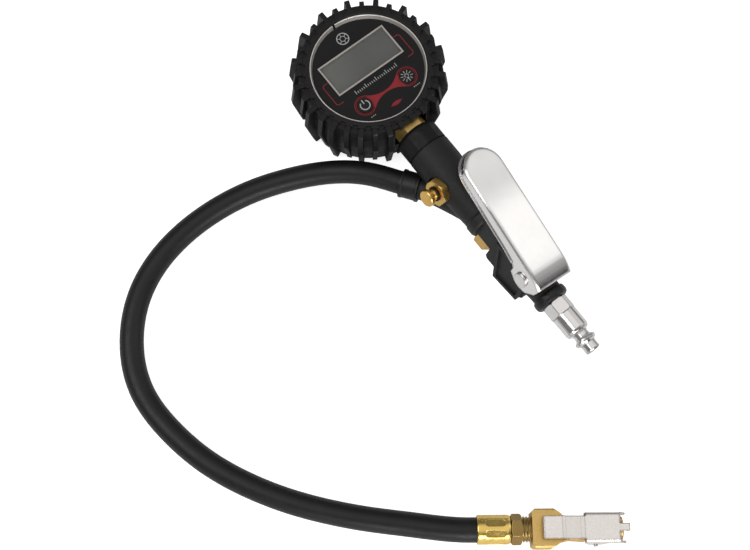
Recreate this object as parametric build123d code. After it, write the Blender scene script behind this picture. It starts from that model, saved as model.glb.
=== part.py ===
from build123d import *
import os
from math import cos, radians, sin

os.makedirs("parts", exist_ok=True)

# Millimetres. +Z is the gauge face's normal, -Y runs down the handle to the inlet plug,
# and the origin is the centre of the boot's flat back, which lies on the bench.

# gauge
BOOT_R = 42.6
LUG_R_TALL = 48.7
LUG_R_SHORT = 46.4
LUG_COUNT = 32
LUG_TURN = 2.0
BOOT_TOP = 48.0
BOOT_BACK = 2.4
CASE_R = 37.4
CASE_IN_R = 35.0
CASE_LEDGE_R = 33.4
CASE_Z0 = 2.5
CASE_Z1 = 45.4
FACE_R = 34.9
FACE_Z0 = 43.0
FACE_T = 1.4
LCD_Y = 7.6
LCD_FRAME = (48.4, 22.0)
LCD_VIEW = (46.6, 20.2)
BUTTON_X = 15.6
BUTTON_Y = -17.4
BUTTON_R = 4.7
BUTTON_Z = (41.5, 45.2)
BOARD_Z = (34.0, 35.6)
CELL_R = 5.2
CELL_L = 43.0
CELL_Y = (7.2, 18.8)
GAUGE_HEX = 18.0
GAUGE_STEM_BORE_R = 1.6
RIM_NOTCH_W = 3.0

# handle: its axis is parallel to Y at this height, and the lever side is rolled about it
AXIS_Z = 32.0
ROLL = 20.0
COLLAR_Y = (-45.4, -59.0)
GRIP_Y = (-59.1, -110.0)
GRIP_R = 13.6
BOSS_Y1 = -117.0
VALVE_Y = -121.2
VALVE_HEX = 13.4
STEM_R = 2.0
STEM_TOP = 25.2
THREAD_BORE_R = 6.45
HOUSING_Y1 = -163.0
INLET_Y = -171.0
PLUG_HEX = 14.2
RUN = 0.05
BLEED_Y = -84.5
BLEED_HEX = 15.0
BLEED_SEAT_X = -11.6

# lever, in its own frame: s runs from the pivot to the free end, h is the height above it
PIVOT_Y = -157.3
PIVOT_H = 8.6
LEVER_OPEN = 12.0
LEVER_HALF = 13.75
SHEET = 1.4
LIP = 0.7
LEVER_TOP = 10.8
BEND_S = 0.5
BEND_R = 28.0
BEND_TURN = 25
LEVER_END_S = 78.0
PIN_R = 2.5

# hose
HOSE_R = 7.15
HOSE_BORE = 4.0
HOSE_FIT = 0.12
BARB_R = 3.8
BRANCH_END = Vector(-15.4, -71.7, 19.6)
BRANCH_DIR = Vector(-0.545, 0.834, -0.13).normalized()
HOSE_Z = 7.4
HOSE_HEX = 15.4
COLLAR_R = 8.5
COLLAR_RIM_R = 8.9

# chuck, in its own frame: x runs from the ferrule to the mouth
CHUCK_AT = (-113.9, -251.0, 9.6)
CHUCK_TURN = -36.75
BLOCK_X = (30.8, 44.6)
MOUTH_X = 82.4
CHUCK_BORE_R = 4.3
CHUCK_BORE_X = 69.0
CLIP_PIN_X = 68.0
CLIP_PIN_Z = -5.6
CLIP_PIN_R = 1.2
CLIP_T = 1.1
CLIP_HALF = 8.4
CLIP_ROOF_X = (60.6, 79.4)
CLIP_ROOF_Z = 10.6


def save(shape, name):
    export_step(shape, f"parts/{name}.step")


def cyl_z(r, z0, z1, x=0.0, y=0.0):
    return Pos(x, y, (z0 + z1) / 2) * Cylinder(r, abs(z1 - z0))


def cyl_y(r, y0, y1, x=0.0, z=AXIS_Z):
    return Pos(x, (y0 + y1) / 2, z) * Rot(90, 0, 0) * Cylinder(r, abs(y1 - y0))


def cyl_x(r, x0, x1, y=0.0, z=0.0):
    return Pos((x0 + x1) / 2, y, z) * Rot(0, 90, 0) * Cylinder(r, abs(x1 - x0))


def block(x0, x1, y0, y1, z0, z1):
    return Pos((x0 + x1) / 2, (y0 + y1) / 2, (z0 + z1) / 2) * Box(abs(x1 - x0), abs(y1 - y0), abs(z1 - z0))


def hex_face(flats, turn=0.0):
    return RegularPolygon(flats / 2, 6, major_radius=False, rotation=turn)


def turned(points, at=(0, 0, 0), rot=(0, 0, 0)):
    """Revolve (radius, height) points about Z, then turn and move the solid."""
    face = make_face(Plane.XZ * Polyline(*points, close=True))
    return Pos(*at) * Rot(*rot) * revolve(face, Axis.Z)


def turned_y(points, z=AXIS_Z):
    """Revolve (radius, y) points about the handle's axis."""
    face = make_face(Polyline(*points, close=True))
    return Pos(0, 0, z) * revolve(face, Axis.Y)


def rolled(shape):
    """Turn a handle piece, drawn with its lever side up, to the lever's real side."""
    return shape.rotate(Axis((0, 0, AXIS_Z), (0, 1, 0)), ROLL)


def side_sheet(points, x0, x1):
    """Extrude a (y, z) outline across x, in the handle's unrolled frame."""
    face = make_face(Plane.YZ * Polyline(*points, close=True))
    return Pos(x0, 0, 0) * extrude(face, x1 - x0, dir=(1, 0, 0))


# ---- gauge ----

def lug(r_out, r_front, r_back, width):
    outline = [(39.0, 1.0), (r_back - 1.2, 0.6), (r_back, 1.6), (r_out, 29.0), (r_out - 0.4, 32.5), (r_front, 47.2),
               (r_front - 0.8, BOOT_TOP), (39.6, BOOT_TOP), (39.6, 40.0), (39.0, 40.0)]
    face = make_face(Plane.XZ * Polyline(*outline, close=True))
    return Pos(0, width / 2, 0) * extrude(face, width, dir=(0, -1, 0))


def gauge_boot():
    shell = turned([(0, 0), (37.5, 0), (39.8, 1.2), (41.8, 12.0), (BOOT_R, 25.0), (BOOT_R, 36.0), (41.8, 46.3),
                    (39.4, 46.3), (39.4, BOOT_TOP), (36.0, BOOT_TOP), (35.35, 47.4), (35.35, 45.6), (37.55, 45.6),
                    (37.55, BOOT_BACK), (0, BOOT_BACK)])
    lugs = []
    for i in range(LUG_COUNT):
        tall = i % 2 == 0
        piece = lug(LUG_R_TALL, 46.3, 43.7, 3.0) if tall else lug(LUG_R_SHORT, 44.1, 41.2, 2.8)
        lugs.append(piece.rotate(Axis.Z, LUG_TURN + 360 / LUG_COUNT * i))
    boot = shell.fuse(*lugs)
    notch = block(37.8, 41.2, -RIM_NOTCH_W / 2, RIM_NOTCH_W / 2, 46.9, BOOT_TOP + 1.0)
    gaps = [notch.rotate(Axis.Z, LUG_TURN + 360 / LUG_COUNT * (i + 0.5)) for i in range(LUG_COUNT)]
    boot = boot.cut(*gaps)
    round_collar = cyl_y(14.3, -52.0, -43.5)
    round_stem = block(-11.0, 11.0, -50.0, -36.0, AXIS_Z - 11.0, AXIS_Z + 11.0)
    over_stem = block(-11.5, 11.5, -60.0, -42.4, AXIS_Z, BOOT_TOP + 1.0)
    return boot - round_collar - round_stem - over_stem


def screw_spots():
    return [(27.5 * sx, y) for sx in (-1, 1) for y in (-13.0, 17.0)]


def gauge_case():
    shell = turned([(0, CASE_Z0), (36.0, CASE_Z0), (CASE_R, 4.0), (CASE_R, CASE_Z1), (CASE_IN_R, CASE_Z1),
                    (CASE_IN_R, FACE_Z0 - 0.02), (CASE_LEDGE_R, FACE_Z0 - 0.02), (CASE_LEDGE_R, 5.0), (0, 5.0)])
    for x, y in screw_spots():
        shell = shell + cyl_z(3.2, 5.0, BOARD_Z[0] - 0.02, x, y)
    shell = shell - block(-25.0, 25.0, -1.0, 27.0, 2.0, 5.5)
    for x, y in screw_spots():
        shell = shell - cyl_z(1.3, 2.0, BOARD_Z[0], x, y) - cyl_z(2.6, 2.0, 4.2, x, y)
    return shell - cyl_y(6.05, -40.0, -30.0)


def case_screws():
    screws = []
    for x, y in screw_spots():
        screw = cyl_z(2.5, 2.7, 4.2, x, y) + cyl_z(1.25, 4.2, 20.0, x, y)
        screws.append(screw - block(x - 1.8, x + 1.8, y - 0.4, y + 0.4, 2.6, 3.4))
    return Compound(screws)


def face_plate():
    disc = cyl_z(FACE_R, FACE_Z0, FACE_Z0 + FACE_T)
    disc = disc - Pos(0, LCD_Y, FACE_Z0 + 1) * Box(LCD_FRAME[0] + 0.1, LCD_FRAME[1] + 0.1, 6)
    for sx in (-1, 1):
        disc = disc - cyl_z(BUTTON_R + RUN, FACE_Z0 - 3, FACE_Z0 + 5, sx * BUTTON_X, BUTTON_Y)
    return disc


def bezel_ring():
    """A split ring whose inner wall leans outward."""
    ring = turned([(33.75, FACE_Z0 + FACE_T + 0.02), (34.9, FACE_Z0 + FACE_T + 0.02), (34.9, CASE_Z1 + 0.02),
                   (35.25, CASE_Z1 + 0.02), (35.25, 47.2), (35.05, 47.5), (34.75, 47.5), (34.55, 47.3)])
    return ring - block(-0.8, 0.8, 33.0, 36.0, FACE_Z0, 49.0)


def lcd_frame():
    outer = Box(LCD_FRAME[0], LCD_FRAME[1], 2.0)
    inner = Box(LCD_VIEW[0] + 0.04, LCD_VIEW[1] + 0.04, 4.0)
    return Pos(0, LCD_Y, FACE_Z0 + 1.0) * (outer - inner)


def lcd_window():
    return Pos(0, LCD_Y, FACE_Z0 + 0.7) * Box(LCD_VIEW[0], LCD_VIEW[1], 1.4)


def lcd_module():
    return Pos(0, LCD_Y, FACE_Z0 - 3.2) * Box(51.0, 25.0, 6.2)


def circuit_board():
    board = cyl_z(32.5, *BOARD_Z) - block(-8.0, 8.0, -40.0, -17.0, 30, 40)
    for x, y in screw_spots():
        board = board - cyl_z(1.4, 30, 40, x, y)
    return board


def button(sx):
    cap = cyl_z(BUTTON_R, *BUTTON_Z, sx * BUTTON_X, BUTTON_Y)
    top = cap.edges().group_by(Axis.Z)[-1]
    return fillet(top, 0.5)


def switch(sx):
    x = sx * BUTTON_X
    base = block(x - 3, x + 3, BUTTON_Y - 3, BUTTON_Y + 3, BOARD_Z[1], BOARD_Z[1] + 3.6)
    return base + cyl_z(1.7, BOARD_Z[1] + 3.6, BUTTON_Z[0] - 0.5, x, BUTTON_Y)


def gauge_stem():
    flats = Pos(0, -45.3, AXIS_Z) * Rot(-90, 0, 0) * extrude(hex_face(GAUGE_HEX), 7.1)
    stem = flats + cyl_y(6.0, -28.0, -38.2) + cyl_y(6.4, -45.3, -66.0)
    return stem - cyl_y(GAUGE_STEM_BORE_R, -24.0, -70.0)


def pressure_sensor():
    return cyl_y(6.8, -20.0, -27.9) - cyl_y(GAUGE_STEM_BORE_R, -24.0, -30.0)


def batteries():
    cells = [cyl_x(CELL_R, -CELL_L / 2, CELL_L / 2, y, 10.4) + cyl_x(1.9, -CELL_L / 2 - 0.9, -CELL_L / 2, y, 10.4)
             for y in CELL_Y]
    return Compound(cells)


def battery_contacts():
    plates = [block(x, x + 0.5, y - 4, y + 4, 5.6, 15.5) for x in (-23.0, 21.55) for y in CELL_Y]
    return Compound(plates)


def battery_door():
    return block(-24.9, 24.9, -0.9, 26.9, 2.55, 4.9)


# ---- handle ----

def neck_collar():
    y0, y1 = COLLAR_Y
    core = turned_y([(6.5, y0), (10.4, y0), (12.2, y0 - 0.8), (13.3, y0 - 2.6), (13.7, y0 - 5.5), (13.7, y1),
                     (6.5, y1)])
    prism = Pos(0, y1 - 1, AXIS_Z) * Rot(-90, 0, 0) * extrude(RegularPolygon(13.4, 12, major_radius=False), 18)
    return core & prism


def bleed_seat():
    """Room in the grip for the bleed valve: a spot face, its thread and its air hole."""
    spot = cyl_x(9.1, BLEED_SEAT_X - 9.0, BLEED_SEAT_X, BLEED_Y, AXIS_Z)
    return rolled(spot + cyl_x(4.95, -12.0, -5.0, BLEED_Y, AXIS_Z) + cyl_x(2.0, -8.0, 0.0, BLEED_Y, AXIS_Z))


def branch():
    """The line the hose branch follows out of the grip."""
    return Spline((-1.5, -112.0, 29.5), (-7.2, -91.0, 24.8), tuple(BRANCH_END),
                  tangents=[(-0.15, 1.0, -0.15), tuple(BRANCH_DIR)])


def branch_tube(r):
    path = branch()
    return sweep(Plane(origin=path @ 0, z_dir=path % 0) * Circle(r), path=path)


def handle_body():
    y0, y1 = GRIP_Y
    grip = turned_y([(0, y0), (12.7, y0), (12.7, y0 - 0.6), (13.3, y0 - 0.6), (GRIP_R, y0 - 1.0),
                     (GRIP_R, -72.0), (13.1, -84.0), (12.0, -97.0), (11.2, y1), (0, y1)])
    body = grip + branch_tube(7.0)
    body = body - cyl_y(THREAD_BORE_R, y0 + 1, -66.2) - cyl_y(2.5, -66.0, -120.0) - bleed_seat()
    bore = Pos(*BRANCH_END) * Plane(origin=(0, 0, 0), z_dir=BRANCH_DIR).location
    body = body - bore * Cylinder(BARB_R + 0.02, 18.0) - bore * Pos(0, 0, 7.0) * Cylinder(COLLAR_RIM_R + 0.1, 13.9)
    return body - block(-40.0, 40.0, -140.0, y1, -10.0, 60.0)


def valve_housing():
    z = AXIS_Z
    boss = turned_y([(0, GRIP_Y[1] - 0.05), (11.2, GRIP_Y[1] - 0.05), (11.9, -111.2), (11.9, -115.8),
                     (11.2, BOSS_Y1), (0, BOSS_Y1)])
    channel = block(-8.2, 8.2, BOSS_Y1 + 2, -133.0, z - 4.0, z + 10.0)
    core = block(-8.6, 8.6, -129.5, HOUSING_Y1, z - 12.0, z + 10.0)
    core = chamfer(core.edges().filter_by(Axis.X).group_by(Axis.Z)[0], 1.6)
    plate = [(-131.6, z + 9.7), (-141.4, z - 15.2), (-161.3, z - 13.2), (-161.3, z + 9.7)]
    plates = side_sheet(plate, -11.2, 11.2)
    recess = [(-134.9, z + 7.6), (-142.8, z - 13.0), (-159.4, z - 11.2), (-159.4, z + 7.6)]
    plates = plates - side_sheet(recess, -12.0, -9.8) - side_sheet(recess, 9.8, 12.0)
    neck = turned_y([(0, HOUSING_Y1 + 3), (10.2, HOUSING_Y1 + 3), (9.4, HOUSING_Y1 - 3), (9.2, INLET_Y),
                     (0, INLET_Y)])
    body = boss + channel + core + plates + neck
    saddle = cyl_x(5.6, -11.2, -9.0, PIVOT_Y, z + PIVOT_H) + cyl_x(5.6, 9.0, 11.2, PIVOT_Y, z + PIVOT_H)
    body = body + saddle
    body = body - cyl_y(THREAD_BORE_R, INLET_Y - 1, INLET_Y + 12) - cyl_y(2.5, -105.0, INLET_Y + 5)
    body = body - valve_hex(VALVE_HEX + 0.1, z - 20.0, z - 4.0)
    body = body - cyl_z(5.0, z - 6.0, z + 7.0, 0, VALVE_Y) - cyl_z(STEM_R + RUN, z, z + 14.0, 0, VALVE_Y)
    body = body - cyl_x(PIN_R + 0.02, -20.0, 20.0, PIVOT_Y, z + PIVOT_H)
    return rolled(body)


def valve_hex(flats, z0, z1):
    """The plug's hexagon, with flats towards the handle's two sides."""
    return Pos(0, VALVE_Y, z0) * extrude(hex_face(flats, 30), z1 - z0)


def valve_plug():
    z = AXIS_Z
    plug = valve_hex(VALVE_HEX, z - 13.8, z - 4.02) + cyl_z(4.97, z - 4.02, z - 3.4, 0, VALVE_Y)
    plug = chamfer(plug.edges().group_by(Axis.Z)[0], 0.5)
    return rolled(plug - cyl_z(3.9, z - 11.0, z, 0, VALVE_Y))


def valve_stem():
    z = AXIS_Z
    rod = cyl_z(STEM_R, z + 4.0, z + STEM_TOP, 0, VALVE_Y) + cyl_z(4.4, z + 4.0, z + 5.4, 0, VALVE_Y)
    dome = fillet(rod.edges().group_by(Axis.Z)[-1], 1.6)
    return rolled(dome)


def coil(radius, wire, pitch, height):
    path = Helix(pitch, height, radius)
    section = Plane(origin=path @ 0, z_dir=path % 0) * Circle(wire)
    return sweep(section, path=path)


def valve_spring():
    return rolled(Pos(0, VALVE_Y, AXIS_Z - 10.4) * coil(3.1, 0.45, 1.7, 6.8))


def valve_seal():
    z = AXIS_Z
    return rolled(cyl_z(4.9, z + 5.5, z + 6.9, 0, VALVE_Y) - cyl_z(STEM_R + RUN, z, z + 9, 0, VALVE_Y))


def inlet_ring():
    y = INLET_Y
    return turned_y([(6.5, y - 0.05), (9.6, y - 0.05), (10.4, y - 0.8), (10.7, y - 2.2), (10.7, y - 3.8),
                     (10.3, y - 5.2), (9.4, y - 6.0), (6.5, y - 6.0)])


def inlet_plug():
    y = INLET_Y - 6.1
    flats = Pos(0, y, AXIS_Z) * Rot(90, 0, 0) * extrude(hex_face(PLUG_HEX), 9.2)
    cone = turned_y([(0, y + 0.1), (7.3, y), (8.3, y - 1.1), (8.3, y - 8.1), (7.3, y - 9.2), (0, y - 9.3)])
    nose = turned_y([(0, y - 9.0), (7.6, y - 9.0), (7.6, y - 20.6), (6.9, y - 22.2), (4.75, y - 23.4),
                     (4.75, y - 26.2), (6.7, y - 27.7), (6.85, y - 28.4), (6.3, y - 29.6), (4.75, y - 30.6),
                     (4.75, y - 35.2), (4.35, y - 35.8), (0, y - 35.8)])
    plug = (flats & cone) + nose + cyl_y(6.4, y + 8.0, y)
    return plug - cyl_y(3.3, y + 10.0, y - 40.0)


def inlet_filter():
    return cyl_y(3.25, INLET_Y + 1.9, INLET_Y - 4.0)


def bleed_at(x):
    return (x, BLEED_Y, AXIS_Z)


def bleed_valve_body():
    x0 = BLEED_SEAT_X - 0.02
    flats = Pos(*bleed_at(x0)) * Rot(0, -90, 0) * extrude(hex_face(BLEED_HEX, 48), 4.6)
    crown = turned([(0, 0), (8.3, 0), (8.8, 0.6), (8.8, 3.6), (7.6, 4.6), (0, 4.6)], at=bleed_at(x0), rot=(0, -90, 0))
    body = (flats & crown) + cyl_x(4.93, -11.7, -5.2, BLEED_Y, AXIS_Z)
    body = body - cyl_x(3.6 + RUN, -20.0, -7.5, BLEED_Y, AXIS_Z) - cyl_x(1.5, -20.0, -3.0, BLEED_Y, AXIS_Z)
    return rolled(body)


def bleed_button():
    points = [(0, 0), (3.6, 0), (3.6, 7.4), (3.3, 8.2), (3.3, 8.8), (4.1, 9.9), (5.3, 10.5), (5.3, 12.3), (4.8, 12.9),
              (0, 12.9)]
    return rolled(turned(points, at=bleed_at(-10.6), rot=(0, -90, 0)))


def bleed_spring():
    ring = Cylinder(2.9, 0.5) - Cylinder(2.2, 2.0)
    return rolled(Pos(*bleed_at(-7.9)) * Rot(0, -90, 0) * ring)


def bleed_seal():
    return rolled(cyl_x(4.6, -17.0, -16.24, BLEED_Y, AXIS_Z) - cyl_x(3.6 + RUN, -20.0, -10.0, BLEED_Y, AXIS_Z))


def lever_bend(depth):
    """Points along the bend at the pivot end, at a depth below the sheet's outer face."""
    r = BEND_R - depth
    turns = [radians(a) for a in range(0, BEND_TURN + 1, 5)]
    return [(BEND_S - r * sin(a), LEVER_TOP - BEND_R + r * cos(a)) for a in turns]


def trigger_lever():
    edge = [(LEVER_END_S, LEVER_TOP), (LEVER_END_S, 3.8), (66.0, 3.6), (47.0, 3.1), (20.0, 2.4), (11.0, 1.4),
            (8.2, -0.5), (7.4, -4.0), (2.0, -6.3), (-2.5, -6.4), (-7.0, -4.8), (-11.2, 2.0)]
    side = lever_bend(0.0)[::-1] + edge
    solid = side_sheet(side, -LEVER_HALF, LEVER_HALF) & lever_plan(LEVER_HALF, LEVER_END_S, -1.0, 20.0)
    top = solid.edges().filter_by(lambda e: e.bounding_box().min.Z > LEVER_TOP - 0.05)
    solid = fillet(top.filter_by(lambda e: e.center().Y > 1), 1.6)
    inner_bend = lever_bend(SHEET)
    under = LEVER_TOP - SHEET
    inside = inner_bend + [(-20.0, inner_bend[-1][1] - 4.3), (-20.0, -20.0), (90.0, -20.0), (90.0, under)]
    solid = solid - (lever_plan(LEVER_HALF - SHEET, LEVER_END_S - SHEET, -10.0, under) & side_sheet(inside, -30, 30))
    solid = solid + lever_lip()
    solid = solid - cyl_x(PIN_R + RUN, -20, 20, 0, 0)
    return rolled(Pos(0, PIVOT_Y, AXIS_Z + PIVOT_H) * Rot(LEVER_OPEN, 0, 0) * solid)


def lever_plan(half, end, z0, z1):
    """The lever's plan outline: straight sides and a round free end."""
    bar = block(-half, half, -30.0, end - half, z0 - 10, z1)
    return bar + cyl_z(half, z0 - 10, z1, 0, end - half)


def lever_lip():
    """The edge of the flange, turned out all the way round the free end."""
    band = [(11.0, 1.4), (20.0, 2.4), (47.0, 3.1), (66.0, 3.6), (80.0, 3.8), (80.0, 4.7), (66.0, 4.5), (47.0, 4.0),
            (20.0, 3.3), (11.0, 2.3)]
    outer = lever_plan(LEVER_HALF + LIP, LEVER_END_S + LIP, -1.0, 20.0)
    inner = lever_plan(LEVER_HALF - SHEET, LEVER_END_S - SHEET, -10.0, 30.0)
    return (side_sheet(band, -20.0, 20.0) & outer) - inner


def lever_pin():
    pin = cyl_x(PIN_R, -14.2, 14.2, PIVOT_Y, AXIS_Z + PIVOT_H)
    for sx in (-1, 1):
        head = cyl_x(4.7, sx * 13.85, sx * 15.3, PIVOT_Y, AXIS_Z + PIVOT_H)
        rim = head.edges().sort_by(lambda e: abs(e.center().X))[-1]
        pin = pin + fillet(rim, 0.6)
    return rolled(pin)


# ---- hose ----

def chuck_frame(x, y=0.0, z=0.0):
    a = radians(CHUCK_TURN)
    return (CHUCK_AT[0] + x * cos(a) - y * sin(a), CHUCK_AT[1] + x * sin(a) + y * cos(a), CHUCK_AT[2] + z)


def on_branch(distance):
    return tuple(BRANCH_END + BRANCH_DIR * distance)


def hose_path():
    fall = [(-33.4, -45.6, 17.2), (-51.6, -28.9, 14.4), (-73.2, -16.7, 11.4), (-97.2, -7.9, 9.0),
            (-124.6, -3.9, 7.8)]
    bench = [(-156.2, -6.6), (-184.8, -18.4), (-206.6, -39.5), (-219.6, -68.7), (-219.8, -98.0), (-212.7, -128.2),
             (-201.7, -152.5), (-188.6, -173.6), (-174.0, -192.3), (-158.3, -209.5), (-141.9, -225.6)]
    points = [on_branch(d) for d in (0.3, 6.0, 12.0)]
    points += fall
    points += [(x, y, HOSE_Z) for x, y in bench]
    points += [chuck_frame(x) for x in (-6.0, 6.0, 18.0)]
    return Spline(*points, tangents=[tuple(BRANCH_DIR), tuple(Vector(*points[-1]) - Vector(*points[-2]))])


def hose():
    path = hose_path()
    section = Plane(origin=path @ 0, z_dir=path % 0)
    return sweep(section * Circle(HOSE_R), path=path) - sweep(section * Circle(HOSE_BORE), path=path)


def on_branch_axis(shape):
    return Plane(origin=tuple(BRANCH_END), z_dir=tuple(BRANCH_DIR)).location * shape


def hose_collar():
    bore = HOSE_R + HOSE_FIT
    sleeve = turned([(bore, 0.1), (COLLAR_RIM_R, 0.1), (COLLAR_RIM_R, 1.5), (COLLAR_R, 1.9), (COLLAR_R, 9.8),
                     (COLLAR_RIM_R, 10.2), (COLLAR_RIM_R, 11.6), (bore, 11.6)])
    return on_branch_axis(sleeve)


def hose_barb():
    return on_branch_axis(turned([(1.8, -8.0), (BARB_R, -8.0), (BARB_R, 10.0), (3.2, 13.0), (1.8, 13.0)]))


# ---- chuck, drawn along X and then placed ----

def placed(shape):
    return Pos(*CHUCK_AT) * Rot(0, 0, CHUCK_TURN) * shape


def turned_x(points):
    """Revolve (x, radius) points about X."""
    return revolve(make_face(Polyline(*points, close=True)), Axis.X)


def across_clip(r, length):
    """A cylinder on the clip's pin axis."""
    return Pos(CLIP_PIN_X, 0, CLIP_PIN_Z) * Rot(90, 0, 0) * Cylinder(r, length)


def hose_ferrule():
    r = HOSE_R + HOSE_FIT
    sleeve = turned_x([(0, r), (0, 8.1), (0.5, 8.35), (17.6, 8.35), (18.8, 7.7), (18.8, 3.9), (18.1, 3.9), (18.1, r)])
    for i in range(8):
        dent = Pos(10.3, 0, 10.1) * Box(11.6, 4.4, 4.2)
        dent = fillet(dent.edges().filter_by(Axis.Z), 2.0)
        sleeve = sleeve - dent.rotate(Axis.X, 45 * i + 22.5)
    return placed(sleeve)


def hose_tail():
    barb = turned_x([(2.0, 1.8), (2.0, 3.3), (5.0, BARB_R), (19.2, BARB_R), (19.2, 1.8)])
    flats = Pos(19.3, 0, 0) * Rot(0, 90, 0) * extrude(hex_face(HOSE_HEX, 30), 6.0)
    crown = turned_x([(19.3, 0), (19.3, 7.9), (20.1, 8.9), (24.5, 8.9), (25.3, 7.9), (25.3, 0)])
    tail = barb + (flats & crown)
    tail = tail + turned_x([(19.0, 0), (19.0, BARB_R), (25.2, 6.6), (32.6, 6.6), (32.6, 0)])
    for x in (25.9, 27.6, 29.3):
        tail = tail + turned_x([(x, 6.0), (x + 0.2, 6.6), (x + 0.7, 7.5), (x + 1.2, 6.6), (x + 1.4, 6.0)])
    return placed(tail - cyl_x(1.8, 0, 40))


def chuck_body():
    x0, x1 = BLOCK_X
    outline = [(x0, -9.4), (x0 + 1.6, -10.9), (x1 - 2.4, -10.9), (x1 + 3.5, -7.3), (x1 + 8.0, -6.2), (x1 + 14, -6.6),
               (x1 + 17, -6.9), (x1 + 17, 6.9), (x1 + 6, 6.7), (x1 + 3.6, 7.2), (x1 - 1.4, 10.9), (x0 + 1.6, 10.9),
               (x0, 9.4)]
    slab = Pos(0, 0, -8.4) * extrude(make_face(Polyline(*outline, close=True)), 16.8)
    octagon = [(-12, -6.4), (-10, -8.4), (10, -8.4), (12, -6.4), (12, 6.4), (10, 8.4), (-10, 8.4), (-12, 6.4)]
    trim = side_sheet(octagon, 0, 80)
    slab = slab & trim
    head = turned_x([(x1 + 13, 0), (x1 + 13, 7.1), (MOUTH_X - 0.8, 7.1), (MOUTH_X, 6.5), (MOUTH_X, 0)])
    low = block(x1 + 3, x1 + 25, -20, 20, 6.4, 10)
    body = slab - low + head
    body = body - cyl_x(6.62, 20, 33.0) - cyl_x(1.6, 30, MOUTH_X) - cyl_x(3.7, 66.0, 70.0)
    body = body - cyl_x(CHUCK_BORE_R, CHUCK_BORE_X, MOUTH_X + 2)
    return placed(body - cyl_x(0.85, 62.0, 70.0) - across_clip(CLIP_PIN_R + 0.02, 30))


def chuck_seal():
    return placed(turned_x([(66.05, 1.65), (66.05, 3.65), (68.9, 3.65), (68.9, 1.65)]))


def chuck_valve_pin():
    pin = cyl_x(1.1, 60.0, 68.8) + cyl_x(1.55, 60.0, 63.0)
    return placed(pin)


def clip_channel():
    """The clip's roof and cheeks: a folded channel cut to the cheeks' side outline."""
    x0, x1 = CLIP_ROOF_X
    outer = block(x0, x1 + 5.0, -CLIP_HALF, CLIP_HALF, -9.0, CLIP_ROOF_Z)
    outer = fillet(outer.edges().filter_by(Axis.X).group_by(Axis.Z)[-1], 2.0)
    hollow = block(x0 - 1.0, x1 + 6.0, CLIP_T - CLIP_HALF, CLIP_HALF - CLIP_T, -12.0, CLIP_ROOF_Z - CLIP_T)
    hollow = fillet(hollow.edges().filter_by(Axis.X).group_by(Axis.Z)[-1], 0.9)
    cheek = [(x0, 11.0), (x0, 3.0), (64.6, -8.0), (71.4, -8.0), (74.5, 0.5), (x1 + 4.2, 1.5), (x1 + 4.2, 5.5),
             (x1, CLIP_ROOF_Z), (x1, 11.0)]
    side = extrude(make_face(Plane.XZ * Polyline(*cheek, close=True)), 12.0, both=True)
    return (outer - hollow) & side


def chuck_clip():
    t, z = CLIP_T, CLIP_ROOF_Z
    x0, x1 = CLIP_ROOF_X
    top = [(36.2, 13.0), (37.0, 13.6), (47.0, 13.4), (48.8, 12.7), (57.6, 11.5), (60.0, z), (x0 + 3, z)]
    pad = top + [(x, h - t) for x, h in reversed(top)]
    strip = extrude(make_face(Plane.XZ * Polyline(*pad, close=True)), 6.3, both=True)
    flare = make_face(Polyline((58.6, -6.3), (x0 + 0.1, 2.0 - CLIP_HALF), (x0 + 0.1, CLIP_HALF - 2.0), (58.6, 6.3),
                               close=True))
    clip = clip_channel() + strip + Pos(0, 0, z - t) * extrude(flare, t)
    clip = clip + block(x1 - 0.4, 85.2, -2.1, 2.1, z - t, z) + block(85.2 - t, 85.2, -2.1, 2.1, 4.6, z)
    return placed(clip - across_clip(CLIP_PIN_R + RUN, 30))


def clip_pin():
    return placed(across_clip(CLIP_PIN_R, 19.0))


def clip_spring():
    return placed(Pos(53.0, 0, 6.8) * coil(2.2, 0.35, 0.95, 1.9))


PIECES = {
    "gauge_boot": gauge_boot,
    "gauge_case": gauge_case,
    "case_screws": case_screws,
    "face_plate": face_plate,
    "bezel_ring": bezel_ring,
    "lcd_frame": lcd_frame,
    "lcd_window": lcd_window,
    "lcd_module": lcd_module,
    "circuit_board": circuit_board,
    "unit_button": lambda: button(-1),
    "light_button": lambda: button(1),
    "unit_switch": lambda: switch(-1),
    "light_switch": lambda: switch(1),
    "gauge_stem": gauge_stem,
    "pressure_sensor": pressure_sensor,
    "batteries": batteries,
    "battery_contacts": battery_contacts,
    "battery_door": battery_door,
    "neck_collar": neck_collar,
    "handle_body": handle_body,
    "valve_housing": valve_housing,
    "valve_plug": valve_plug,
    "valve_stem": valve_stem,
    "valve_spring": valve_spring,
    "valve_seal": valve_seal,
    "inlet_ring": inlet_ring,
    "inlet_plug": inlet_plug,
    "inlet_filter": inlet_filter,
    "bleed_valve_body": bleed_valve_body,
    "bleed_button": bleed_button,
    "bleed_spring": bleed_spring,
    "bleed_seal": bleed_seal,
    "trigger_lever": trigger_lever,
    "lever_pin": lever_pin,
    "hose": hose,
    "hose_collar": hose_collar,
    "hose_barb": hose_barb,
    "hose_ferrule": hose_ferrule,
    "hose_tail": hose_tail,
    "chuck_body": chuck_body,
    "chuck_seal": chuck_seal,
    "chuck_valve_pin": chuck_valve_pin,
    "chuck_clip": chuck_clip,
    "clip_pin": clip_pin,
    "clip_spring": clip_spring,
}

for name, make in PIECES.items():
    save(make(), name)
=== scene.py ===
"""Looks for the tyre inflator: materials for the CAD nodes, face graphics, lights and camera."""

from math import cos, pi, radians, sin

import bpy
from mathutils import Matrix, Vector


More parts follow.
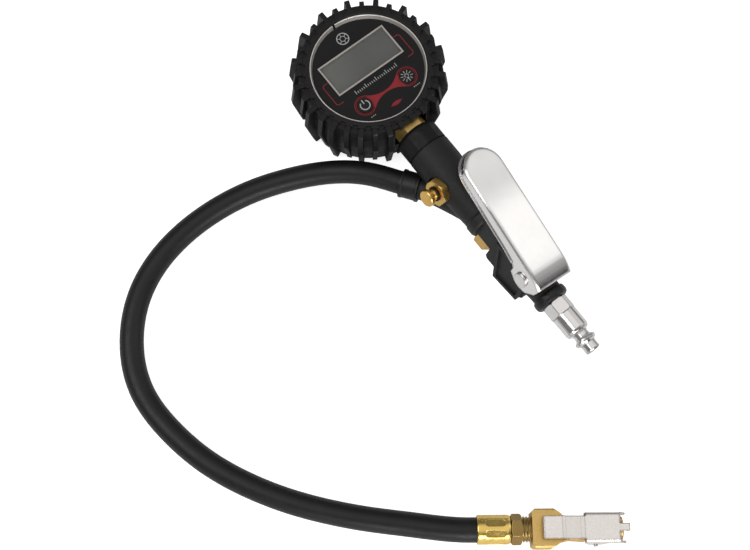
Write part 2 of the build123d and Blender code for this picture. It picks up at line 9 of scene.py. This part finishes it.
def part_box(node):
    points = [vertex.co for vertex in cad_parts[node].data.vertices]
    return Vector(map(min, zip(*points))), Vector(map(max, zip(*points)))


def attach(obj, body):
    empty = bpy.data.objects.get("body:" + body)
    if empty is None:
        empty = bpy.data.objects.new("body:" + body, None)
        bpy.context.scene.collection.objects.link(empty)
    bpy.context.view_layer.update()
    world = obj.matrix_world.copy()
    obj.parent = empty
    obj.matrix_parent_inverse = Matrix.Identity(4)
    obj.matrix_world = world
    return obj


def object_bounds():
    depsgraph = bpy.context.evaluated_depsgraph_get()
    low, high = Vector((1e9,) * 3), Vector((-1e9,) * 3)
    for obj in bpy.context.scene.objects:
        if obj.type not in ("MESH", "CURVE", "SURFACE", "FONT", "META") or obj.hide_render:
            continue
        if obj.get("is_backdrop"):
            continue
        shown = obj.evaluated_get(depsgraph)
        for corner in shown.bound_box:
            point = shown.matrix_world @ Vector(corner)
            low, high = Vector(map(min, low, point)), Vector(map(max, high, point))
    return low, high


MM = 0.001
ROOT = "inflator"

# camera: a steep view from above the handle's side
CAMERA_AT = (-0.2003, -0.2692, 0.7584)
CAMERA_LOOK = (0.1691, 0.2218, -0.9603)
CAMERA_AZIMUTH = radians(-37.33)
CAMERA_LENS = 62.4
CAMERA_SENSOR = 36.0

# face graphics, in millimetres from the gauge's centre
PRINT_T = 0.06
BRACKET_X = 28.7
BRACKET_DROP = 15.3
BRACKET_LINE = 0.5
ALMOND_AT = (0.4, -27.2)
SCALE_Y = -8.6
TICK_PITCH = 1.5
TICK_HALF = 0.22
SYMBOL_AT = (0.0, 25.6)
DOT_PITCH = 1.3
DOT_R = 0.38
RING_INNER = (5.05, 5.4)
RING_OUTER = (5.95, 6.45)
WHEEL_RIM = (3.4, 4.0)
WHEEL_HUB = (1.5, 1.9)
SPOKES = 6
SPOKE_W = 0.4
POWER_R = 2.9
POWER_LINE = 0.72
LAMP_RAYS = 10
LAMP_RAY = (2.1, 3.8)
LAMP_R = 1.15
LAMP_LINE = 0.42

# studio sky: direction, inner and outer half-angle in degrees, and brightness of each soft patch
SKY_BASE = 0.20
SKY_PATCHES = (
    ((0.15, 0.0, 1.0), 12.0, 42.0, 0.68),
    ((0.819, -0.142, 0.555), 5.0, 26.0, 0.64),
    ((0.78, -0.45, 0.43), 8.0, 32.0, 0.38),
    ((0.66, -0.74, 0.14), 8.0, 30.0, -0.20),
    ((-0.75, -0.55, 0.35), 6.0, 26.0, 0.50),
)
SKY_DARKEST = 0.02
SKY_TINT = (1.0, 0.995, 0.985)
WALL_LIGHT = 1.25

# soft lights: name, place, aim, size and power
SOFT_LIGHTS = (
    ("key", (-0.75, 0.35, 1.1), (-0.05, -0.12, 0.0), (0.9, 0.9), 6.0),
    ("front_fill", (-0.45, -1.25, 0.48), (-0.05, -0.15, 0.0), (1.1, 0.5), 9.5),
)

# the floor, in millimetres, and how much the camera sees it lit
FLOOR_HALF = 3000
FLOOR_GAP = 0.05
FLOOR_LIFT = 0.75

# what every material shares; depths are in millimetres
NOISE_SPAN = (0.3, 0.7)
# painted shade in grooves and bores: the occlusion range it ramps over, and how dark it goes
RECESS_SPAN = (0.15, 0.65)
RECESS_SHADE = 0.12
GLOSS_SCALE = 320.0
GRAIN_DEPTH = 0.06

RED = (0.27, 0.022, 0.028)
PRINT_GREY = (0.42, 0.42, 0.41)


# ---- materials ----

def add_node(tree, kind, **settings):
    node = tree.nodes.new(kind)
    for key, value in settings.items():
        if key in node.inputs:
            node.inputs[key].default_value = value
        else:
            setattr(node, key, value)
    return node


def noise(tree, coords, scale, detail):
    tex = add_node(tree, "ShaderNodeTexNoise", Scale=scale, Detail=detail)
    tree.links.new(coords, tex.inputs["Vector"])
    return tex.outputs["Fac"]


def remap(tree, value, source, target=(0.0, 1.0), interpolation_type="LINEAR"):
    """Map a value from one range to another, clamped."""
    node = add_node(tree, "ShaderNodeMapRange", interpolation_type=interpolation_type)
    node.inputs["From Min"].default_value, node.inputs["From Max"].default_value = source
    node.inputs["To Min"].default_value, node.inputs["To Max"].default_value = target
    tree.links.new(value, node.inputs["Value"])
    return node.outputs["Result"]


def maths(tree, operation, first, second):
    """The result of a math node on a socket and a second socket or number."""
    node = add_node(tree, "ShaderNodeMath", operation=operation)
    tree.links.new(first, node.inputs[0])
    if isinstance(second, float):
        node.inputs[1].default_value = second
    else:
        tree.links.new(second, node.inputs[1])
    return node.outputs[0]


def axis(tree, coords, letter):
    node = add_node(tree, "ShaderNodeSeparateXYZ")
    tree.links.new(coords, node.inputs[0])
    return node.outputs[letter]


def mix_colour(tree, factor, first, second):
    node = add_node(tree, "ShaderNodeMix", data_type="RGBA")
    for socket, value in ((6, first), (7, second)):
        if isinstance(value, tuple):
            node.inputs[socket].default_value = (*value, 1.0)
        else:
            tree.links.new(value, node.inputs[socket])
    tree.links.new(factor, node.inputs[0])
    return node.outputs[2]


def painted_edge_mask(tree, rounded, lean):
    """1 on sharp edges and 0 on flats, from how far the rounded normal leans; it places the painted edge
    highlights and shade lines.
    """
    geometry = add_node(tree, "ShaderNodeNewGeometry")
    dot = add_node(tree, "ShaderNodeVectorMath", operation="DOT_PRODUCT")
    tree.links.new(rounded, dot.inputs[0])
    tree.links.new(geometry.outputs["Normal"], dot.inputs[1])
    return remap(tree, dot.outputs["Value"], lean)


def swell(tree, coords, middle, length, height, normal):
    """Bend the reflections along Y, as a slightly crowned pressed sheet does. Sizes are in millimetres."""
    along = maths(tree, "SUBTRACT", axis(tree, coords, "Y"), middle * MM)
    phase = maths(tree, "MULTIPLY", along, 2 * pi / (length * MM))
    wave = add_node(tree, "ShaderNodeMath", operation="COSINE")
    tree.links.new(phase, wave.inputs[0])
    relief = add_node(tree, "ShaderNodeBump")
    relief.inputs["Distance"].default_value = height * MM
    tree.links.new(wave.outputs[0], relief.inputs["Height"])
    tree.links.new(normal, relief.inputs["Normal"])
    return relief.outputs["Normal"]


def across(tree, coords, start, end):
    """0 to 1 along X, between two places in millimetres."""
    return remap(tree, axis(tree, coords, "X"), (start * MM, end * MM))


def recess_shade_mask(tree, reach):
    """Where shade is painted into the colour: 0 deep inside bores and grooves and 1 in the open."""
    occlusion = add_node(tree, "ShaderNodeAmbientOcclusion", samples=6)
    occlusion.inputs["Distance"].default_value = reach * MM
    return remap(tree, occlusion.outputs["AO"], RECESS_SPAN)


def surface(name, colour, rough, metallic=0.0, mottle=0.12, rough_spread=0.06, grain=2500.0, bump=0.15,
            edge_radius=0.25, edge_light_and_shade=None, specular=0.5, waves=(), recess=None, fade=None, patch=60.0,
            edge_lean=(0.99, 0.80)):
    """A procedural material: mottled colour, uneven gloss, fine grain and softened edges whose colour is
    painted light, lighter as a painted highlight on some materials and darker as a painted shade line on
    others.

    waves are crowns as (middle, length, height), recess is how far the painted shade in grooves and bores
    reaches, and fade is (start, end, colour) along X, all in millimetres; patch and grain are noise scales.
    """
    material = bpy.data.materials.new(name)
    material.use_nodes = True
    tree = material.node_tree
    bsdf = tree.nodes["Principled BSDF"]
    coords = add_node(tree, "ShaderNodeTexCoord").outputs["Object"]
    broad = noise(tree, coords, patch, 3.0)
    middle = noise(tree, coords, GLOSS_SCALE, 5.0)
    fine = noise(tree, coords, grain, 3.0)
    dark = tuple(c * (1 - mottle) for c in colour)
    light = tuple(min(1.0, c * (1 + mottle)) for c in colour)
    base = mix_colour(tree, remap(tree, broad, NOISE_SPAN), dark, light)
    rounded = add_node(tree, "ShaderNodeBevel", samples=6)
    rounded.inputs["Radius"].default_value = edge_radius * MM
    # painted light on edges: a lighter edge colour is a painted highlight, a darker one is a painted shade
    # line
    if edge_light_and_shade:
        mask = painted_edge_mask(tree, rounded.outputs["Normal"], edge_lean)
        base = mix_colour(tree, mask, base, edge_light_and_shade)
    if fade:
        base = mix_colour(tree, across(tree, coords, *fade[:2]), base, fade[2])
    # painted shade: the base colour darkens deep in grooves and bores
    if recess:
        base = mix_colour(tree, recess_shade_mask(tree, recess), tuple(c * RECESS_SHADE for c in colour), base)
    relief = add_node(tree, "ShaderNodeBump")
    relief.inputs["Strength"].default_value = bump
    relief.inputs["Distance"].default_value = GRAIN_DEPTH * MM
    tree.links.new(fine, relief.inputs["Height"])
    under = rounded.outputs["Normal"]
    for wave in waves:
        under = swell(tree, coords, *wave, under)
    tree.links.new(under, relief.inputs["Normal"])
    tree.links.new(base, bsdf.inputs["Base Color"])
    gloss = remap(tree, middle, NOISE_SPAN, (rough - rough_spread, rough + rough_spread))
    tree.links.new(gloss, bsdf.inputs["Roughness"])
    tree.links.new(relief.outputs["Normal"], bsdf.inputs["Normal"])
    bsdf.inputs["Metallic"].default_value = metallic
    bsdf.inputs["Specular IOR Level"].default_value = specular
    return material


def window_material():
    material = surface("clear_window", (0.16, 0.165, 0.155), 0.12, mottle=0.03, rough_spread=0.03, bump=0.02,
                       specular=0.3)
    material.node_tree.nodes["Principled BSDF"].inputs["Alpha"].default_value = 0.35
    return material


def floor_material():
    """A matt pale sheet that the camera alone sees as white."""
    material = surface("floor_pale", (0.88, 0.88, 0.88), 0.7, mottle=0.01, bump=0.0)
    tree = material.node_tree
    bsdf = tree.nodes["Principled BSDF"]
    bsdf.inputs["Emission Color"].default_value = (1.0, 1.0, 1.0, 1.0)
    path = add_node(tree, "ShaderNodeLightPath")
    lift = maths(tree, "MULTIPLY", path.outputs["Is Camera Ray"], FLOOR_LIFT)
    tree.links.new(lift, bsdf.inputs["Emission Strength"])
    return material


def build_materials():
    return {
        # the edge colours below are painted light: the lighter ones are painted highlights, the dark ones on
        # chrome, pin and clip are painted shade lines; recess paints shade into grooves and bores
        "boot": surface("boot_rubber", (0.0080, 0.0080, 0.0082), 0.44, grain=1800, bump=0.35,
                        edge_radius=0.35, edge_light_and_shade=(0.026, 0.026, 0.027), specular=0.25, recess=7.0),
        "case": surface("case_plastic", (0.0075, 0.0075, 0.0078), 0.5, bump=0.3, specular=0.22),
        "film": surface("face_film", (0.0075, 0.0072, 0.0074), 0.34, mottle=0.08, bump=0.03, grain=3500,
                        edge_radius=0.1, specular=0.2),
        "bezel": surface("bezel_metal", (0.76, 0.72, 0.68), 0.40, metallic=0.75, bump=0.0, grain=4000,
                         edge_radius=0.12, mottle=0.04, rough_spread=0.03),
        "lcd_frame": surface("lcd_frame_grey", (0.42, 0.38, 0.355), 0.42, bump=0.03, mottle=0.04),
        "window": window_material(),
        "lcd": surface("lcd_cell", (0.165, 0.166, 0.152), 0.35, mottle=0.06, bump=0.05, grain=3000,
                       fade=(0.0, -26.0, (0.36, 0.355, 0.33))),
        "board": surface("board_green", (0.02, 0.12, 0.05), 0.4),
        "button": surface("button_black", (0.008, 0.008, 0.0082), 0.34, bump=0.10, specular=0.25),
        "brass": surface("brass_machined", (0.72, 0.46, 0.135), 0.32, metallic=1.0, mottle=0.10, grain=5000,
                         bump=0.10, edge_radius=0.2, edge_light_and_shade=(1.0, 0.80, 0.42), recess=2.0),
        "brass_neck": surface("brass_neck", (0.80, 0.54, 0.17), 0.46, metallic=0.7, mottle=0.10, grain=4000,
                              bump=0.10, edge_radius=0.3, edge_light_and_shade=(1.0, 0.82, 0.45)),
        "brass_bright": surface("brass_bright", (0.86, 0.60, 0.17), 0.24, metallic=1.0, mottle=0.08,
                                grain=5000, bump=0.06, edge_radius=0.35, edge_light_and_shade=(1.0, 0.85, 0.5),
                                recess=1.5),
        "brass_dull": surface("brass_dull", (0.30, 0.20, 0.07), 0.40, metallic=1.0, mottle=0.15, bump=0.15,
                              edge_radius=0.45, edge_light_and_shade=(0.95, 0.72, 0.30)),
        "brass_bar": surface("brass_bar", (0.70, 0.47, 0.165), 0.42, metallic=1.0, mottle=0.11, grain=3000,
                             bump=0.14, edge_radius=0.3, edge_light_and_shade=(0.85, 0.66, 0.33), patch=1400.0),
        "steel": surface("steel_screw", (0.45, 0.45, 0.45), 0.3, metallic=1.0, bump=0.1),
        "grip": surface("grip_black", (0.0125, 0.0122, 0.0122), 0.55, mottle=0.14, grain=1900, bump=0.7,
                        edge_radius=0.3, edge_light_and_shade=(0.03, 0.03, 0.03), specular=0.32, patch=900.0),
        "housing": surface("housing_black", (0.013, 0.013, 0.013), 0.5, mottle=0.10, grain=1800, bump=0.3,
                           edge_radius=0.4, edge_light_and_shade=(0.035, 0.035, 0.035), specular=0.32),
        "seal": surface("seal_rubber", (0.006, 0.006, 0.006), 0.5, specular=0.25),
        "chrome": surface("chrome_plate", (0.80, 0.78, 0.77), 0.12, metallic=1.0, mottle=0.03,
                          rough_spread=0.03, grain=5000, bump=0.02, edge_radius=0.8,
                          edge_light_and_shade=(0.10, 0.095, 0.09), recess=3.0, edge_lean=(0.995, 0.92)),
        "lever": surface("lever_steel", (0.84, 0.825, 0.815), 0.14, metallic=1.0, mottle=0.02,
                         rough_spread=0.03, grain=4000, bump=0.03, edge_radius=2.2,
                         waves=((-121.0, 150.0, 2.7), (-118.0, 38.0, 0.22))),
        "pin": surface("pin_steel", (0.80, 0.78, 0.77), 0.30, metallic=1.0, mottle=0.03, bump=0.05,
                       edge_radius=0.9, edge_light_and_shade=(0.06, 0.055, 0.055), edge_lean=(0.995, 0.90)),
        "clip": surface("plated_sheet", (0.86, 0.81, 0.775), 0.30, metallic=1.0, mottle=0.07,
                        rough_spread=0.05, grain=2600, bump=0.4, edge_radius=1.0,
                        edge_light_and_shade=(0.30, 0.26, 0.235), recess=3.0, patch=1400.0, edge_lean=(0.9995, 0.97)),
        "hose": surface("hose_rubber", (0.0095, 0.0087, 0.0085), 0.42, mottle=0.14, grain=1500, bump=0.5,
                        edge_radius=0.2, specular=0.32),
        "collar": surface("collar_plastic", (0.0085, 0.0085, 0.0085), 0.36, bump=0.15, edge_radius=0.3,
                          specular=0.35),
        "red": surface("print_red", RED, 0.38, mottle=0.06, bump=0.05, specular=0.2),
        "grey": surface("print_grey", PRINT_GREY, 0.4, mottle=0.05, bump=0.05, specular=0.3),
        "floor": floor_material(),
    }


NODE_FINISH = {
    "gauge_boot": "boot", "gauge_case": "case", "case_screws": "steel", "face_plate": "film",
    "bezel_ring": "bezel", "lcd_frame": "lcd_frame", "lcd_window": "window", "lcd_module": "lcd",
    "circuit_board": "board", "unit_button": "button", "light_button": "button", "unit_switch": "case",
    "light_switch": "case", "gauge_stem": "brass_neck", "pressure_sensor": "steel", "batteries": "case",
    "battery_contacts": "steel", "battery_door": "case", "neck_collar": "case", "handle_body": "grip",
    "valve_housing": "housing", "valve_plug": "brass_bar", "valve_stem": "brass", "valve_spring": "steel",
    "valve_seal": "seal", "inlet_ring": "collar", "inlet_plug": "chrome", "inlet_filter": "brass",
    "bleed_valve_body": "brass", "bleed_button": "brass", "bleed_spring": "steel", "bleed_seal": "seal",
    "trigger_lever": "lever", "lever_pin": "pin", "hose": "hose", "hose_collar": "collar",
    "hose_barb": "brass", "hose_ferrule": "brass_bright", "hose_tail": "brass_dull",
    "chuck_body": "brass_bar", "chuck_seal": "seal", "chuck_valve_pin": "brass", "chuck_clip": "clip",
    "clip_pin": "steel", "clip_spring": "steel",
}


def paint(obj, material):
    obj.data.materials.clear()
    obj.data.materials.append(material)


def paint_nodes(frame, finish):
    for name, key in NODE_FINISH.items():
        paint(frame["nodes"][name], finish[key])


# ---- small geometry helpers, in millimetres ----

def add_mesh(name, verts, faces, material):
    mesh = bpy.data.meshes.new(name)
    mesh.from_pydata([tuple(c * MM for c in v) for v in verts], [], faces)
    mesh.update()
    obj = bpy.data.objects.new(name, mesh)
    bpy.context.scene.collection.objects.link(obj)
    paint(obj, material)
    return obj


def prism(outlines, z0, z1):
    """Closed prisms over flat outlines, each a list of (x, y)."""
    verts, faces = [], []
    for outline in outlines:
        start, n = len(verts), len(outline)
        verts += [(x, y, z0) for x, y in outline] + [(x, y, z1) for x, y in outline]
        faces.append([start + i for i in reversed(range(n))])
        faces.append([start + n + i for i in range(n)])
        faces += [[start + i, start + (i + 1) % n, start + n + (i + 1) % n, start + n + i] for i in range(n)]
    return verts, faces


def arc(cx, cy, r, a0, a1, steps=24):
    angles = [radians(a0 + (a1 - a0) * i / steps) for i in range(steps + 1)]
    return [(cx + r * cos(a), cy + r * sin(a)) for a in angles]


def stroke(points, width):
    """The outline of a line of the given width along open points."""
    left, right = [], []
    for i, (x, y) in enumerate(points):
        ahead = points[min(i + 1, len(points) - 1)]
        behind = points[max(i - 1, 0)]
        along = Vector((ahead[0] - behind[0], ahead[1] - behind[1])).normalized() * width / 2
        left.append((x - along.y, y + along.x))
        right.append((x + along.y, y - along.x))
    return right + left[::-1]


def ring_strokes(cx, cy, r0, r1):
    """Two half rings, so that each is a simple outline."""
    middle, width = (r0 + r1) / 2, r1 - r0
    return [stroke(arc(cx, cy, middle, a, a + 180), width) for a in (0, 180)]


def rays(cx, cy, r0, r1, count, width):
    """Short lines pointing away from a centre, evenly spaced."""
    angles = [2 * pi * (k + 0.5) / count for k in range(count)]
    return [stroke([(cx + r * cos(a), cy + r * sin(a)) for r in (r0, r1)], width) for a in angles]


def printed(name, outlines, z, material, body=ROOT):
    obj = add_mesh(name, *prism(outlines, z, z + PRINT_T), material)
    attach(obj, body)


def centre(node):
    low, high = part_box(node)
    return [(low[i] + high[i]) / 2 / MM for i in range(3)]


def top(node):
    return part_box(node)[1][2] / MM


# ---- face graphics ----

def brackets(z, finish, lcd):
    """Thin red lines that frame the display's lower corners."""
    y_top, y_low, turn = lcd[1] + 0.2, lcd[1] - BRACKET_DROP, 1.5
    for side, sx in (("left", -1), ("right", 1)):
        points = [(sx * (BRACKET_X - 3.6), y_top)]
        points += arc_corner(sx * BRACKET_X, y_top, turn, sx, up=True)
        points += arc_corner(sx * BRACKET_X, y_low, turn, sx, up=False)
        points += [(sx * (BRACKET_X - 4.6), y_low)]
        printed(f"bracket_{side}", [stroke(points, BRACKET_LINE)], z, finish["red"])


def arc_corner(x, y, r, sx, up):
    """A quarter turn at an outer corner."""
    start, end = (90, 0) if up else (0, -90)
    points = arc(0, 0, r, start, end, 6)
    return [(x - sx * r + sx * px, y + (-r if up else r) + py) for px, py in points]


def hourglass(z, finish, left, right):
    """The red waist that joins the two button rings."""
    half, neck = (right[0] - left[0]) / 2, 0.75
    x0, y0 = (left[0] + right[0]) / 2, left[1]
    reach = RING_OUTER[1]
    upper, lower = [], []
    steps = 20
    for i in range(steps + 1):
        t = -1 + 2 * i / steps
        x = x0 + t * (half - reach * 0.62)
        h = neck + (reach * 0.80 - neck) * abs(t) ** 2.2
        upper.append((x, y0 + h))
        lower.append((x, y0 - h))
    printed("hourglass", [upper + lower[::-1]], z, finish["red"])


def almond(z, finish, x, y):
    half, high = 4.2, 1.25
    points = [(x - half + 2 * half * i / 12, y + high * sin(pi * i / 12)) for i in range(13)]
    points += [(x + half - 2 * half * i / 12, y - high * sin(pi * i / 12)) for i in range(1, 12)]
    printed("almond", [points], z, finish["red"])


def tick_scale(z, finish, y):
    """A plain scale of ticks under the display."""
    ticks = []
    for i in range(-10, 11):
        long = 2.7 if i % 5 == 0 else 1.5
        left, right = i * TICK_PITCH - TICK_HALF, i * TICK_PITCH + TICK_HALF
        ticks.append([(left, y), (right, y), (right, y + long), (left, y + long)])
    printed("tick_scale", ticks, z, finish["grey"])


def dot_row(name, z, finish, x, y, count):
    """A short row of dots under a button, in place of a word."""
    dots = [arc(x + (i - (count - 1) / 2) * DOT_PITCH, y, DOT_R, 0, 330, 11) for i in range(count)]
    printed(name, dots, z, finish["grey"])


def ring_symbol(z, finish, x, y):
    """A plain wheel symbol above the display."""
    outlines = ring_strokes(x, y, *WHEEL_RIM) + ring_strokes(x, y, *WHEEL_HUB)
    outlines += rays(x, y, WHEEL_HUB[1], WHEEL_RIM[0], SPOKES, SPOKE_W)
    printed("ring_symbol", outlines, z, finish["grey"])


def button_rings(z, finish, spots):
    for name, (x, y) in spots.items():
        outlines = ring_strokes(x, y, *RING_INNER) + ring_strokes(x, y, *RING_OUTER)
        printed(f"{name}_rings", outlines, z, finish["red"])


def power_icon(z, finish, x, y):
    outlines = [stroke(arc(x, y, POWER_R, 125, 415, 30), POWER_LINE)]
    outlines.append(stroke([(x, y + 1.0), (x, y + POWER_R + 1.0)], POWER_LINE))
    printed("power_icon", outlines, z, finish["grey"], "unit_key")


def lamp_icon(z, finish, x, y):
    outlines = rays(x, y, *LAMP_RAY, LAMP_RAYS, LAMP_LINE)
    outlines.append(stroke(arc(x, y + 0.2, LAMP_R, -50, 230, 18), LAMP_LINE))
    outlines.append([(x - 0.55, y - 2.0), (x + 0.55, y - 2.0), (x + 0.55, y - 0.9), (x - 0.55, y - 0.9)])
    printed("lamp_icon", outlines, z, finish["grey"], "light_key")


def face_graphics(finish):
    z = top("face_plate")
    lcd = centre("lcd_frame")
    left, right = centre("unit_button"), centre("light_button")
    button_top = top("unit_button")
    brackets(z, finish, lcd)
    hourglass(z, finish, left, right)
    almond(z, finish, *ALMOND_AT)
    tick_scale(z, finish, SCALE_Y)
    ring_symbol(z, finish, *SYMBOL_AT)
    dot_row("unit_dots", z, finish, left[0], left[1] - 8.3, 3)
    dot_row("light_dots", z, finish, right[0] + 1.5, right[1] - 8.0, 4)
    button_rings(z + 0.01, finish, {"unit": left[:2], "light": right[:2]})
    power_icon(button_top, finish, left[0], left[1])
    lamp_icon(button_top, finish, right[0], right[1])


# ---- scene ----

def soft_light(name, at, aim, size, power):
    light = bpy.data.lights.new(name, "AREA")
    light.shape = "RECTANGLE"
    light.size, light.size_y = size
    light.energy = power
    obj = bpy.data.objects.new(name, light)
    obj.location = at
    obj.rotation_euler = (Vector(aim) - Vector(at)).to_track_quat("-Z", "Y").to_euler()
    bpy.context.scene.collection.objects.link(obj)


def glow(tree, direction, spot, inner, outer, level):
    """A soft round patch of light in the sky, from the angle to a direction."""
    dot = add_node(tree, "ShaderNodeVectorMath", operation="DOT_PRODUCT")
    tree.links.new(direction, dot.inputs[0])
    dot.inputs[1].default_value = Vector(spot).normalized()
    span = (cos(radians(outer)), cos(radians(inner)))
    return remap(tree, dot.outputs["Value"], span, (0.0, level), "SMOOTHSTEP")


def studio():
    """A grey room with soft bright patches and one dark flag. The camera itself sees white walls."""
    world = bpy.data.worlds.new("studio")
    world.use_nodes = True
    tree = world.node_tree
    background = tree.nodes["Background"]
    direction = add_node(tree, "ShaderNodeTexCoord").outputs["Generated"]
    glows = [glow(tree, direction, *patch) for patch in SKY_PATCHES]
    total = glows[0]
    for extra in glows[1:]:
        total = maths(tree, "ADD", total, extra)
    sky = maths(tree, "MAXIMUM", maths(tree, "ADD", total, SKY_BASE), SKY_DARKEST)
    tree.links.new(sky, background.inputs["Strength"])
    background.inputs["Color"].default_value = (*SKY_TINT, 1.0)
    white = add_node(tree, "ShaderNodeBackground", Strength=WALL_LIGHT)
    path = add_node(tree, "ShaderNodeLightPath")
    blend = add_node(tree, "ShaderNodeMixShader")
    tree.links.new(path.outputs["Is Camera Ray"], blend.inputs[0])
    tree.links.new(background.outputs[0], blend.inputs[1])
    tree.links.new(white.outputs[0], blend.inputs[2])
    tree.links.new(blend.outputs[0], tree.nodes["World Output"].inputs["Surface"])
    bpy.context.scene.world = world


def lights():
    for light in SOFT_LIGHTS:
        soft_light(*light)
    studio()


def floor(finish):
    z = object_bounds()[0][2] / MM - FLOOR_GAP
    verts = [(x * FLOOR_HALF, y * FLOOR_HALF, z) for x, y in ((-1, -1), (1, -1), (1, 1), (-1, 1))]
    add_mesh("floor", verts, [(0, 1, 2, 3)], finish["floor"])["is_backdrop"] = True


def camera():
    data = bpy.data.cameras.new("camera")
    data.lens = CAMERA_LENS
    data.sensor_width = CAMERA_SENSOR
    data.clip_end = 20
    obj = bpy.data.objects.new("camera", data)
    look = Vector(CAMERA_LOOK).normalized()
    right = Vector((cos(CAMERA_AZIMUTH), sin(CAMERA_AZIMUTH), 0.0))
    up = right.cross(look)
    turn = Matrix((right, up, -look)).transposed()
    obj.matrix_world = Matrix.Translation(CAMERA_AT) @ turn.to_4x4()
    bpy.context.scene.collection.objects.link(obj)
    bpy.context.scene.camera = obj
    bpy.context.scene.view_settings.view_transform = "Standard"


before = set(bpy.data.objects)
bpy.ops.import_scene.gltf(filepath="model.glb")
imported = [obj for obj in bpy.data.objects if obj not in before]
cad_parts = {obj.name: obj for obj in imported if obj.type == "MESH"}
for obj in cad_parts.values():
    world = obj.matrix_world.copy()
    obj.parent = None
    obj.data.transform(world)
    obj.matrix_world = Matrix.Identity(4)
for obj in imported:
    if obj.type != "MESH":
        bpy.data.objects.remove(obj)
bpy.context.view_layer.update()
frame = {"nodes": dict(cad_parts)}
finish = build_materials()
paint_nodes(frame, finish)
face_graphics(finish)
floor(finish)
lights()
camera()
